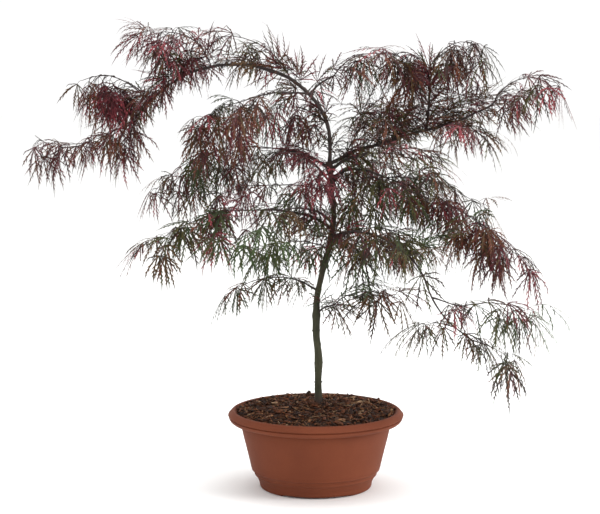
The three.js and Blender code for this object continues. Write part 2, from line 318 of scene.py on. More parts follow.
trunkPlan = {
    "foot": (5, 0, 133),
    "ways": [(0, 92, 110, 0, 0), (0, 93, 160, 18, 0), (0, 75, 155, -28, 0)],
    "radii": [6.4, 6.3, 6.7, 5.3, 4.6, 3.9, 3.9],
    "flare": 3.6,  # mm that the foot is thicker, fading over the first 7 mm or so
    "swell": 0.9,  # mm that the trunk swells where a bough leaves it
    "buds": (34, 400, 21),  # from, to and apart, in mm above the foot
    "budRadii": [2.4, 2.2, 1.9, 1.3, 0.5],
    "seed": 11,
    "lowBark": ("454431", "2d2e22"),  # light and dark
    "highBark": ("4a3831", "2c201d"),
    "barkScales": (70, 420),  # of its patches and its grain
    "barkStretch": 0.35,
    "turning": (0.30, 0.48),  # metres up, from the low bark to the high one
    "soiled": (0.165, 0.145),  # metres up, where the compost has marked the foot brown
}
boughBark = ("3a2c29", "1d1515")
# name: parent, share of the parent where it leaves, way, radius at foot and tip in mm
boughPlan = {
    "leader_rise": ("trunk", 0.985, (-157, 98, 201, 76, -19), (3.3, 2.9)),
    "leader_arch": ("leader_rise", 1, (-166, 16, 229, 60, -28), (2.8, 1.8)),
    "left_high_bough": ("leader_rise", 0.64, (-147, 14, 53, 13, -2), (1.8, 1.6)),
    "inner_right_bough": ("leader_rise", 0.63, (26, 53, 56, 37, -3), (1.8, 1.5)),
    "left_middle_bough": ("trunk", 0.97, (159, 38, 97, 34, 0), (2.8, 2.2)),
    "left_low_bough": ("trunk", 0.75, (-153, 39, 132, 41, -1), (2.4, 1.9)),
    "left_lowest_bough": ("trunk", 0.527, (145, 26, 59, 14, -3), (1.7, 1.4)),
    "right_upper_bough": ("trunk", 0.99, (7, 28, 175, 19, 5), (3.1, 2.6)),
    "right_crest_bough": ("right_upper_bough", 1, (30, 78, 96, -15, 0), (2.2, 1.6)),
    "right_far_bough": ("right_upper_bough", 1, (-19, 14, 126, -17, -2), (2.2, 1.7)),
    "right_under_bough": ("trunk", 0.965, (-27, 43, 79, 37, 0), (2.8, 2.4)),
    "right_slope_bough": ("trunk", 0.94, (29, 27, 110, 55, -3), (2.3, 1.9)),
    "right_low_bough": ("trunk", 0.726, (-29, 23, 210, 85, -1), (2.3, 1.7)),
    "right_drop_bough": ("right_low_bough", 1, (-14, -74, 124, -46, 0), (1.6, 1.2)),
    "right_drop_branch": ("right_drop_bough", 0.24, (-12, -12, 48, 6, 3), (1.2, 1.1)),
    "right_lowest_bough": ("trunk", 0.44, (-37, 46, 44, 34, -3), (1.6, 1.4)),
    "front_left_bough": ("trunk", 0.77, (-124, 38, 119, 38, 0), (2.2, 1.6)),
    "front_right_bough": ("trunk", 0.69, (-62, 35, 119, 35, 0), (2.2, 1.6)),
    "back_left_bough": ("trunk", 0.91, (121, 40, 114, 31, 0), (2.3, 1.8)),
    "back_right_bough": ("trunk", 0.92, (62, 28, 114, 30, 0), (2.3, 1.8)),
}
# name: parent, share of the parent where it leaves, way, how far the leaves hang, how wide they spread
massPlan = {
    "left_end_crest": ("leader_arch", 1, (172, 56, 138, 86, -7), 112, 84),
    "left_end_skirt": ("leader_arch", 0.98, (156, -50, 146, -36, 10), 112, 96),
    "left_tip": ("left_end_skirt", 0.88, (170, -26, 134, -78, 4), 90, 56),
    "upper_left_peak": ("leader_arch", 0.46, (171, 74, 160, 112, -3), 130, 100),
    "crest_fan": ("leader_rise", 0.84, (166, 70, 206, 114, 6), 44, 92),
    "left_high_fan": ("left_high_bough", 1, (-153, -4, 210, 40, -14), 140, 140),
    "left_high_inner": ("leader_rise", 0.34, (172, 52, 122, 84, 0), 112, 96),
    "left_middle_fan": ("left_middle_bough", 1, (162, 10, 284, 66, 7), 130, 130),
    "left_third_fan": ("trunk", 0.88, (-168, 24, 280, 66, 0), 74, 90),
    "left_low_fan": ("left_low_bough", 1, (-151, 6, 266, 50, -20), 128, 130),
    "left_inner_green": ("trunk", 0.68, (158, 25, 160, 73, 6), 58, 84),
    "left_lowest_fan": ("left_lowest_bough", 1, (161, 6, 182, 66, 9), 78, 84),
    "inner_right_fan": ("inner_right_bough", 1, (22, 54, 168, 98, -14), 100, 110),
    "right_crest_inner": ("right_crest_bough", 1, (-166, 74, 108, 118, 7), 124, 84),
    "right_crest_fan": ("right_crest_bough", 1, (10, 80, 172, 158, 2), 112, 120),
    "middle_right_fan": ("right_upper_bough", 0.24, (-42, 82, 156, 104, 42), 92, 100),
    "right_shoulder": ("right_far_bough", 0.08, (22, 60, 196, 136, -17), 88, 130),
    "right_shoulder_front": ("right_far_bough", 0.03, (-48, 24, 130, 62, 27), 66, 96),
    "right_far_fan": ("right_far_bough", 1, (-17, 68, 166, 134, 9), 92, 92),
    "right_under_fan": ("right_under_bough", 1, (-27, 13, 140, 61, 15), 58, 86),
    "centre_right_fan": ("trunk", 0.86, (-42, 54, 191, 103, 20), 124, 110),
    "right_middle_fan": ("right_slope_bough", 1, (18, 2, 216, 46, -9), 90, 110),
    "right_slope_fan": ("right_slope_bough", 1, (-25, -15, 330, 34, 18), 134, 120),
    "right_low_fan": ("trunk", 0.69, (-32, 44, 210, 88, 7), 160, 100),
    "right_low_spray": ("right_low_bough", 0.74, (-26, 35, 116, 89, 18), 58, 76),
    "right_lowest_fan": ("right_lowest_bough", 1, (-31, 46, 156, 92, 18), 76, 90),
    "drop_upper_fan": ("right_drop_branch", 1, (-9, 16, 214, 60, 0), 100, 76),
    "drop_inner_fan": ("right_drop_bough", 0.72, (-165, 22, 112, 70, -7), 80, 66),
    "drop_lower_fan": ("right_drop_bough", 1, (-10, -16, 156, 28, 4), 84, 84),
    "centre_front_fan": ("trunk", 0.95, (-118, 12, 104, 84, -22), 76, 84),
    "front_left_fan": ("front_left_bough", 1, (-126, 8, 206, 62, -10), 76, 150),
    "front_right_fan": ("front_right_bough", 1, (-62, 8, 206, 58, 10), 76, 150),
    "back_left_fan": ("back_left_bough", 1, (118, 8, 240, 62, 10), 90, 180),
    "back_right_fan": ("back_right_bough", 1, (60, 8, 240, 60, -10), 90, 180),
    "back_low_fan": ("trunk", 0.67, (92, 26, 270, 74, 0), 80, 150),
    "upper_back_left": ("leader_rise", 0.46, (132, 34, 190, 80, -10), 92, 150),
    "upper_back_right": ("right_upper_bough", 0.5, (66, 56, 190, 92, 10), 92, 150),
}
shootSteps = 24


def direction(heading, lift):
    heading, lift = np.radians(heading), np.radians(lift)
    level = np.cos(lift)
    return np.stack([level * np.cos(heading), level * np.sin(heading), np.sin(lift) + 0 * level], axis=-1)


def bearing(vector):
    # the heading and lift of a vector, in degrees
    heading = np.degrees(np.arctan2(vector[..., 1], vector[..., 0]))
    return heading, np.degrees(np.arcsin(np.clip(vector[..., 2], -1, 1)))


def unit(vectors):
    return vectors / np.linalg.norm(vectors, axis=-1, keepdims=True)


def walk(starts, ways, steps):
    # the points and directions of many shoots at once: starts (n, 3) in metres, ways (n, 5)
    heading, lift, length, fall, turn = [column[:, None] for column in np.asarray(ways, float).T]
    halves = (np.arange(steps) + 0.5) / steps
    ends = np.arange(steps + 1) / steps
    strides = direction(heading + turn * halves, lift - fall * halves) * (length * mm / steps)[..., None]
    moved = np.concatenate([np.zeros_like(strides[:, :1]), np.cumsum(strides, 1)], 1)
    points = np.asarray(starts, float)[:, None, :] + moved
    return points, direction(heading + turn * ends, lift - fall * ends)


def oneWalk(start, way, steps=shootSteps):
    points, headings = walk([start], [way], steps)
    return points[0], headings[0]


def along(path, share):
    points, headings = path
    step = min(max(share, 0), 1) * (len(points) - 1)
    i = min(int(step), len(points) - 2)
    between = step - i
    heading = unit(headings[i] * (1 - between) + headings[i + 1] * between)
    return points[i] * (1 - between) + points[i + 1] * between, heading


def sway(points):
    # small bends that depend on the place alone, so that what is joined stays joined
    x, y, z = np.moveaxis(np.asarray(points) / mm, -1, 0)
    rise = np.clip((z - 140) / 60, 0, 1)
    dx = 1.6 * np.sin(z / 33 + 1.3) + 0.9 * np.sin((x + y) / 19 + 0.4) + 0.5 * np.sin(x / 9 + z / 11)
    dy = 1.6 * np.sin(z / 29 + 4.1) + 0.9 * np.sin((x - y) / 23 + 2.4) + 0.5 * np.sin(y / 8 + x / 13)
    dz = 1.8 * np.sin(x / 31 + 0.7) + 0.9 * np.sin((y + x) / 17 + 3.2) + 0.5 * np.sin(x / 8 - y / 11)
    return np.asarray(points) + np.stack([dx * rise, dy * rise, dz * rise], -1) * mm


paths = {}


def followTrunk():
    start = np.array(trunkPlan["foot"]) * mm
    points, headings = oneWalk(start, trunkPlan["ways"][0])
    for way in trunkPlan["ways"][1:]:
        more, moreHeadings = oneWalk(points[-1], way)
        points = np.concatenate([points, more[1:]])
        headings = np.concatenate([headings, moreHeadings[1:]])
    paths["trunk"] = (points, headings)


followTrunk()
for name, (parent, share, way, *_) in {**boughPlan, **massPlan}.items():
    paths[name] = oneWalk(along(paths[parent], share)[0], way)

# meshes from arrays


def arrayMesh(name, points, faceSets, materials):
    # faceSets: (corner numbers (n, k), material numbers (n,)) for each kind of face
    mesh = bpy.data.meshes.new(name)
    corners = np.concatenate([faces.ravel() for faces, _ in faceSets])
    sizes = np.concatenate([np.full(len(faces), faces.shape[1]) for faces, _ in faceSets])
    mesh.vertices.add(len(points))
    mesh.vertices.foreach_set("co", np.asarray(points, np.float32).ravel())
    mesh.loops.add(len(corners))
    mesh.loops.foreach_set("vertex_index", corners.astype(np.int32))
    mesh.polygons.add(len(sizes))
    starts = np.concatenate([[0], np.cumsum(sizes)[:-1]])
    mesh.polygons.foreach_set("loop_start", starts.astype(np.int32))
    for material in materials:
        mesh.materials.append(material)
    finishes = np.concatenate([numbers for _, numbers in faceSets])
    mesh.polygons.foreach_set("material_index", finishes.astype(np.int32))
    mesh.update(calc_edges=True)
    mesh.validate()
    piece = bpy.data.objects.new(name, mesh)
    scene.collection.objects.link(piece)
    return piece


def tubes(points, radii, sides):
    # round stems: points (n, s, 3), radii (n, s), made into vertices, side faces and end faces
    tangent = unit(np.gradient(points, axis=1))
    steep = np.abs(tangent[:, :1, 2:]) > 0.9
    reference = np.where(steep, [1.0, 0, 0], [0, 0, 1.0])
    side = unit(np.cross(np.broadcast_to(reference, tangent.shape), tangent))
    over = np.cross(tangent, side)
    around = np.arange(sides) * 2 * pi / sides
    ring = side[:, :, None] * np.cos(around)[:, None] + over[:, :, None] * np.sin(around)[:, None]
    vertices = points[:, :, None] + ring * radii[:, :, None, None]
    count, steps = points.shape[:2]
    number = np.arange(count * steps * sides).reshape(count, steps, sides)
    after = np.roll(number, -1, axis=2)
    walls = np.stack([number[:, :-1], after[:, :-1], after[:, 1:], number[:, 1:]], -1).reshape(-1, 4)
    ends = np.concatenate([number[:, 0, ::-1], number[:, -1]])
    return vertices.reshape(-1, 3), walls, ends


# trunk and boughs


def strandMesh(name, strands, rings):
    # a curve with a round section and a radius at each point, made a mesh
    curve = bpy.data.curves.new(name, "CURVE")
    curve.dimensions = "3D"
    curve.bevel_depth = mm
    curve.bevel_resolution = rings
    curve.use_fill_caps = True
    for points, radii in strands:
        spline = curve.splines.new("POLY")
        spline.points.add(len(points) - 1)
        spline.points.foreach_set("co", np.c_[points, np.ones(len(points))].astype(np.float32).ravel())
        spline.points.foreach_set("radius", np.asarray(radii, np.float32))
        spline.use_smooth = True
    piece = bpy.data.objects.new(name, curve)
    scene.collection.objects.link(piece)
    makeActive(piece)
    bpy.ops.object.convert(target="MESH")
    bpy.ops.object.mode_set(mode="EDIT")
    bpy.ops.mesh.select_all(action="SELECT")
    bpy.ops.mesh.remove_doubles(threshold=0.00001)
    bpy.ops.mesh.normals_make_consistent(inside=False)
    bpy.ops.object.mode_set(mode="OBJECT")
    return bpy.context.object


def roughen(piece, reliefs):
    # bark relief: each is the size of its lumps and its height, in metres
    for size, height in reliefs:
        texture = bpy.data.textures.new("bark relief", "CLOUDS")
        texture.noise_scale = size
        texture.noise_depth = 2
        relief = piece.modifiers.new("relief", "DISPLACE")
        relief.texture = texture
        relief.texture_coords = "LOCAL"
        relief.strength = height
        relief.mid_level = 0.5
        bpy.ops.object.modifier_apply(modifier=relief.name)
    smoothShell(piece, 60)


def resample(path, spacing, length):
    shares = np.linspace(0, 1, max(4, int(length / spacing)))
    return shares, np.array([along(path, share)[0] for share in shares])


def buildTrunk():
    length = sum(way[2] for way in trunkPlan["ways"])
    shares, points = resample(paths["trunk"], 2.5, length)
    radii = np.interp(shares, np.linspace(0, 1, len(trunkPlan["radii"])), trunkPlan["radii"])
    above = shares * length
    radii = radii + trunkPlan["flare"] * np.exp(-above / 7)
    radii = radii + 0.5 * np.sin(above / 13) * np.clip(above / 60, 0, 1)
    for parent, share, _, _ in boughPlan.values():
        if parent == "trunk":
            radii = radii + trunkPlan["swell"] * np.exp(-(((above - share * length) / 6) ** 2))
    strands = [(sway(points), radii)]
    rng = np.random.default_rng(trunkPlan["seed"])
    for height in np.arange(*trunkPlan["buds"]):  # old buds, in pairs
        at, _ = along(paths["trunk"], height / length)
        turn = rng.uniform(0, 360)
        for side in (0, 180):
            way = (turn + side, 38, 8.5, 10, 0)
            bud, _ = oneWalk(at, way, 4)
            strands.append((sway(bud), trunkPlan["budRadii"]))
    trunk = strandMesh("trunk_stem", strands, 6)
    roughen(trunk, [(0.012, 0.0011), (0.0035, 0.0006)])
    trunk.data.materials.append(trunkBark())
    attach(trunk, "root")
    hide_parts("trunk")


def trunkBark():
    # green-grey low down, turning reddish brown towards the fork
    scales, stretch = trunkPlan["barkScales"], trunkPlan["barkStretch"]
    relief = {"stretch": stretch, "bump": 0.5, "depth": 0.0006, "Specular_IOR_Level": 0.25}
    material = mottled("trunk bark", *trunkPlan["lowBark"], *scales, **relief)
    nodes, link = material.node_tree.nodes, material.node_tree.links.new
    low = nodes["Group"]
    high = mottleNode(nodes, *trunkPlan["highBark"], *scales, stretch)
    place = addNode(nodes, "TexCoord")
    apart = addNode(nodes, "SeparateXYZ")
    tone = addNode(nodes, "Mix")
    tone.data_type = "RGBA"
    either = addNode(nodes, "Math")
    either.operation = "MAXIMUM"
    link(place.outputs["Object"], apart.inputs[0])
    for number, key in enumerate(("turning", "soiled")):
        begin, end = trunkPlan[key]
        blend = addNode(nodes, "MapRange", From_Min=begin, From_Max=end)
        link(apart.outputs[2], blend.inputs["Value"])
        link(blend.outputs["Result"], either.inputs[number])
    link(either.outputs[0], tone.inputs["Factor"])
    link(low.outputs["Color"], tone.inputs["A"])
    link(high.outputs["Color"], tone.inputs["B"])
    link(tone.outputs["Result"], nodes["Principled BSDF"].inputs["Base Color"])
    return material


def buildBoughs():
    strands = []
    for name, (_, _, way, (foot, tip)) in boughPlan.items():
        shares, points = resample(paths[name], 4, way[2])
        above = shares * way[2]
        radii = foot + (tip - foot) * shares + 0.7 * np.exp(-above / 6) + 0.12 * np.sin(above / 5)
        strands.append((sway(points), radii))
    boughs = strandMesh("boughs", strands, 4)
    roughen(boughs, [(0.006, 0.0007)])
    boughs.data.materials.append(mottled("bough bark", *boughBark, 90, 500, bump=0.4, depth=0.0004))
    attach(boughs, "root")
    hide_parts(*boughPlan)


buildTrunk()
buildBoughs()
print("trunk and boughs grown")

# twigs and leaves

sprayPlan = {
    "seed": 2,
    "nodeSpacing": 18,  # mm between pairs on a ridge
    "twigSpacing": 18,  # mm between pairs on a side twig
    "leafReach": 26,  # mm that a leaf alone spreads to the side
    "leafHang": 56,  # mm that a leaf alone hangs below its twig
    "sideTwigs": 0.55,  # share of nodes that carry a side twig rather than a leaf
    "ridgeRadii": (1.15, 0.5),  # mm, at foot and tip
    "sideRadii": (0.75, 0.4),
    "twigSteps": 8,
    "thirdLeaf": 0.35,  # share of side twigs that end in three leaves rather than two
    "stalkRadius": 0.42,
    "twigColour": "2c1c1a",
    "petiole": (10, 24),  # mm
    "blade": (54, 84),  # mm
    "larger": {  # the masses with larger leaves
        "drop_upper_fan": 1.25,
        "drop_inner_fan": 1.2,
        "drop_lower_fan": 1.25,
        "right_lowest_fan": 1.1,
    },
    "outTurn": (25, 75),  # degrees that a leaf's stalk turns out from its twig
    "rise": (10, 65),  # degrees that the stalk lifts
    "stalkFall": (35, 100),  # degrees that it bends down again
    "droop": (0.38, 0.92),  # how far the blade's lobes bend down
    "roll": 30,  # degrees
    "shade": 17,  # mm, a cube of the crown that holds few leaves
    "shadeLeaves": 2,  # how many leaves such a cube holds
    "room": 0.012,  # metres that leaves may stand outside the CAD box
    # leaves on the boughs themselves: from and to which share, mm apart, degrees that they stand up
    "boughLeaves": [
        ("leader_arch", 0, 0.75, 15, 40),
        ("leader_arch", 0.7, 1, 6, 55),
        ("leader_arch", 0.8, 1, 12, -10),
        ("leader_rise", 0, 0.45, 15, 20),
        ("leader_rise", 0.7, 1, 10, 75),
        ("left_high_bough", 0, 1, 12, 30),
        ("left_middle_bough", 0, 1, 11, 10),
        ("left_low_bough", 0, 0.85, 17, -5),
        ("inner_right_bough", 0, 1, 15, 20),
        ("right_upper_bough", 0, 0.6, 10, 28),
        ("right_upper_bough", 0.6, 1, 7, 60),
        ("right_far_bough", 0.1, 0.6, 20, 50),
        ("right_crest_bough", 0, 0.6, 11, 20),
        ("right_crest_bough", 0.6, 1, 6, 45),
        ("right_under_bough", 0, 0.5, 16, 10),
        ("right_slope_bough", 0, 0.4, 12, -10),
        ("right_slope_bough", 0.4, 1, 18, -20),
        ("right_low_bough", 0.3, 0.65, 9, 15),
        ("right_drop_bough", 0.8, 1, 10, -10),
        ("right_drop_branch", 0.3, 1, 9, -10),
        ("right_lowest_bough", 0.1, 1, 10, 20),
        ("left_lowest_bough", 0.3, 1, 14, 0),
        ("front_right_bough", 0, 0.6, 16, 20),
        ("front_left_bough", 0, 0.6, 18, 15),
    ],
}
# how each mass is leafed: how thickly, how many mm its ridge ends short of the tip, how many degrees
# its leaves stand up from a plain hang, and how far its tints lean to red
leafing = {
    "left_end_crest": (2.2, 12, -40, 1.0),
    "left_end_skirt": (0.55, 20, -12, 0.4),
    "left_tip": (0.45, 26, -12, 1.2),
    "upper_left_peak": (1.2, 22, 18, 0.8),
    "crest_fan": (0.45, 60, 2, 0.2),
    "left_high_fan": (1.1, 64, -15, 0.2),
    "left_high_inner": (0.25, 30, -20, 0),
    "left_middle_fan": (0.42, 44, -20, -0.1),
    "left_third_fan": (0.34, 90, -5, 0.6),
    "left_low_fan": (0.5, 56, -2, 1.6),
    "left_inner_green": (0.6, 40, -10, -0.2),
    "left_lowest_fan": (0.28, 60, -5, -0.4),
    "inner_right_fan": (0.8, 34, 22, 0.4),
    "right_crest_inner": (1.7, 30, -12, 0.3),
    "right_crest_fan": (0.6, 66, -16, 0.3),
    "middle_right_fan": (0.85, 50, 55, 0.2),
    "right_shoulder": (1.2, 70, 58, 0.6),
    "right_shoulder_front": (0.6, 24, -10, 0.1),
    "right_far_fan": (0.7, 46, 2, 0.8),
    "right_under_fan": (0.7, 24, 22, 0),
    "centre_right_fan": (0.55, 20, -34, 0),
    "right_middle_fan": (0.24, 40, 0, 0),
    "right_slope_fan": (0.75, 42, -22, -0.3),
    "right_low_fan": (0.34, 20, -16, -0.1),
    "right_low_spray": (0.3, 60, 60, 0),
    "right_lowest_fan": (1.25, 38, 30, -0.4),
    "drop_upper_fan": (0.4, 104, -4, -0.3),
    "drop_inner_fan": (1.0, 72, -2, -0.5),
    "drop_lower_fan": (0.5, 100, -2, -0.2),
    "centre_front_fan": (2.4, 50, 24, 1.8),
    "front_left_fan": (0.16, 40, 0, 0.2),
    "front_right_fan": (0.2, 40, 5, 0.2),
    "back_left_fan": (0.3, 50, 0, 0.1),
    "back_right_fan": (0.2, 50, 0, 0),
    "back_low_fan": (0.14, 50, 45, 0.1),
    "upper_back_left": (0.13, 30, -20, 0.3),
    "upper_back_right": (0.9, 50, 35, 0.2),
}
leafForm = {
    # each lobe: its angle from the leaf's axis, its share of the blade's length, its pairs of teeth
    "lobes": [
        *[(-88, 0.42, 2), (-58, 0.74, 3), (-29, 0.93, 4), (0, 1, 5)],
        *[(29, 0.93, 4), (58, 0.74, 3), (88, 0.42, 2)],
    ],
    "bare": 0.2,  # share of a lobe before its first teeth
    "toothed": 0.68,  # share of a lobe where its teeth end and its bare tail begins
    "tail": 3,  # steps in the tail
    "rib": 0.98,  # half width at its widest, in mm
    "tooth": 12.4,  # mm long
    "toothWide": 1.66,  # mm
    "toothAngle": 25,  # degrees
    "toothShade": 0.3,  # share of the teeth that take the rib's darker tone as painted shade
    "fold": 0.15,
    "spreadOut": (0.75, 1.05),  # how far the lobes stand apart, as a share of their angles
    "curl": 0.2,  # sideways bend of the lobes
    "stiffness": 0.88,  # share of the droop that shows
    "usualBlade": 74,  # mm, the blade that the teeth are given for
    # leaves are broader in the shade low down than out in the sun
    "breadth": {"leaf_crimson": 1, "leaf_bronze": 1, "leaf_olive": 1.1, "leaf_green": 1.25},
}
# the tints that a spray may take, each with the rib that goes with it; the rib's darker tone is also put
# on some teeth as painted shade
tintPlan = {
    "flame": ("9f474c", "702f36"),
    "crimson": ("7c383e", "50262b"),
    "maroon": ("5e2e2f", "3e2122"),
    "russet": ("6e3e2a", "4c2b1e"),
    "bronze": ("604325", "402e1a"),
    "umber": ("3e2b24", "2b1f1a"),
    "olive": ("524c26", "37341b"),
    "moss": ("464b27", "31361c"),
    "green": ("3e492a", "2b341d"),
    "fresh": ("465a2e", "334222"),
}
# what each finish of the masses deals out, from its shade to its sun side
palettes = {
    "leaf_crimson": {"flame": 1, "crimson": 4, "maroon": 4, "russet": 2, "umber": 2, "bronze": 1},
    "leaf_bronze": {
        "crimson": 2, "maroon": 3, "russet": 3.5, "bronze": 3.5, "umber": 3, "olive": 2, "moss": 0.8,
    },
    "leaf_olive": {
        "crimson": 1.2, "russet": 2, "bronze": 3, "olive": 4, "moss": 3, "umber": 2, "green": 0.8,
    },
    "leaf_green": {
        "crimson": 0.6, "russet": 1.6, "bronze": 2, "olive": 3, "moss": 3, "green": 3, "fresh": 1,
    },
}
tintNames = list(tintPlan)


def massFinish(name):
    # the CAD node's own material says which finish a mass has
    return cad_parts[name].data.materials[0].name.split(".")[0]


class Foliage:
    crowd = {}  # how many leaves have their middle in each small cube of the crown

    def __init__(self):
        self.twigs, self.leaves, self.perk, self.larger = [], [], 0, 1


def growLeaf(foliage, rng, at, forward, hand, tint, size=1.0):
    # a leaf on its stalk; hand is -1 or 1 for the two sides of a twig, and 0 for its tip
    heading, lift = bearing(forward)
    out = heading + hand * rng.uniform(*sprayPlan["outTurn"]) + rng.normal(0, 10)
    rise = 0.5 * lift + rng.uniform(*sprayPlan["rise"]) + foliage.perk
    size *= foliage.larger
    length = rng.uniform(*sprayPlan["petiole"]) * size
    stalk = (out, rise, length, rng.uniform(*sprayPlan["stalkFall"]), -hand * rng.uniform(0, 18))
    blade = rng.uniform(*sprayPlan["blade"]) * size
    droop = rng.uniform(*sprayPlan["droop"]) * (1 - foliage.perk / 180)
    # no leaf where others already shade it
    middle = at + (direction(out, rise - stalk[3]) * 0.4 + down * 0.3 * droop) * blade * mm
    cube = tuple(np.round(middle / mm / sprayPlan["shade"]).astype(int))
    if Foliage.crowd.get(cube, 0) >= sprayPlan["shadeLeaves"]:
        return
    Foliage.crowd[cube] = Foliage.crowd.get(cube, 0) + 1
    # a few leaves of a spray are one step redder or greener than the rest
    tint = min(max(tint + int(rng.choice([-1, 0, 0, 0, 1])), 0), len(tintNames) - 1)
    foliage.leaves.append((*at, *stalk, blade, rng.normal(0, sprayPlan["roll"]), droop, tint))


def pickTint(rng, finish, sun):
    # the more sun, the redder
    names = list(palettes[finish])
    weights = np.array(list(palettes[finish].values()), float)
    redness = np.array([1 - tintNames.index(name) / len(tintNames) for name in names])
    weights *= np.exp(2.8 * (sun - 0.4) * (redness - 0.5))
    return tintNames.index(names[rng.choice(len(names), p=weights / weights.sum())])


def growTwig(foliage, rng, at, way, thick, tint):
    # a side twig with leaves in pairs along it and two or three at its tip
    foliage.twigs.append((*at, *way, *thick))
    twig = oneWalk(at, way, sprayPlan["twigSteps"])
    length = way[2]
    step = rng.uniform(14, 24)
    while step < length - 10:
        for hand in (-1, 1):
            growLeaf(foliage, rng, *along(twig, step / length), hand, tint, rng.uniform(0.75, 1))
        step += sprayPlan["twigSpacing"] * rng.uniform(0.8, 1.2)
    for hand in (-1, 0, 1) if rng.random() < sprayPlan["thirdLeaf"] else (-1, 1):
        growLeaf(foliage, rng, *along(twig, 1), hand, tint, rng.uniform(0.7, 1))


def growMass(foliage, name, number):
    _, _, way, hang, wide = massPlan[name]
    rng = np.random.default_rng([sprayPlan["seed"], number])
    finish = massFinish(name)
    thickly, short, foliage.perk, blush = leafing[name]
    foliage.larger = sprayPlan["larger"].get(name, 1)
    fullness = thickly**0.5
    kept = 1 - short / way[2]
    way = (way[0], way[1], way[2] * kept, way[3] * kept, way[4] * kept)
    ridge = oneWalk(paths[name][0][0], way)
    foliage.twigs.append((*ridge[0][0], *way, *sprayPlan["ridgeRadii"]))
    spacing = sprayPlan["nodeSpacing"] / fullness
    station, pair = rng.uniform(4, 14), rng.uniform(0, 1)
    while station < way[2] - 10:
        here = station / way[2]
        at, forward = along(ridge, here)
        bulge = sin(pi * min(max(here * kept * 0.95 + 0.05, 0), 1)) ** 0.7
        heading, lift = bearing(forward)
        for hand in (-1, 1):
            tint = pickTint(rng, finish, here + blush)
            pair += 0.618034  # the golden share deals the twigs out evenly
            if rng.random() < sprayPlan["sideTwigs"] * fullness:
                # the twig aims to the side and below, so that its leaves fill the mass to its hem
                aside = max(0.5 * wide * bulge - sprayPlan["leafReach"], 4)
                aside = aside * (0.2 + 1.1 * (pair * 1.23 % 1))
                drop = max(hang * bulge - sprayPlan["leafHang"], 0) * (pair % 1)
                ahead = rng.uniform(16, 34) * (1 - 0.7 * here)
                length = (aside**2 + drop**2 + ahead**2) ** 0.5 * 1.08
                turnOut = np.degrees(np.arctan2(aside, ahead))
                rise = rng.uniform(0, 32) + 0.3 * lift
                fall = 2 * (rise + np.degrees(np.arcsin(min(drop / length, 0.95))))
                side = (heading + hand * (turnOut + 8), rise, length, fall, -hand * 16)
                growTwig(foliage, rng, at, side, sprayPlan["sideRadii"], tint)
            else:
                growLeaf(foliage, rng, at, forward, hand, tint, rng.uniform(0.85, 1.05))
        station += spacing * rng.uniform(0.8, 1.2)
    for hand in (-1, 0, 1):
        tint = pickTint(rng, finish, 1 + blush)
        growLeaf(foliage, rng, *along(ridge, 1), hand, tint, rng.uniform(0.8, 1))


def growOnBough(foliage, finish, name, begin, end, spacing, perk):
    # leaves on short spurs along a bough
    foliage.perk, foliage.larger = perk, 1
    rng = np.random.default_rng([sprayPlan["seed"], 100 + list(boughPlan).index(name), int(begin * 10)])
    length = boughPlan[name][2][2]
    station = begin * length + rng.uniform(0, spacing)
    while station < end * length:
        at, forward = along(paths[name], station / length)
        tint = pickTint(rng, finish, 0.5)
        for hand in (-1, 1):
            growLeaf(foliage, rng, at, forward, hand, tint, rng.uniform(0.7, 1))
        station += spacing * rng.uniform(0.75, 1.25)


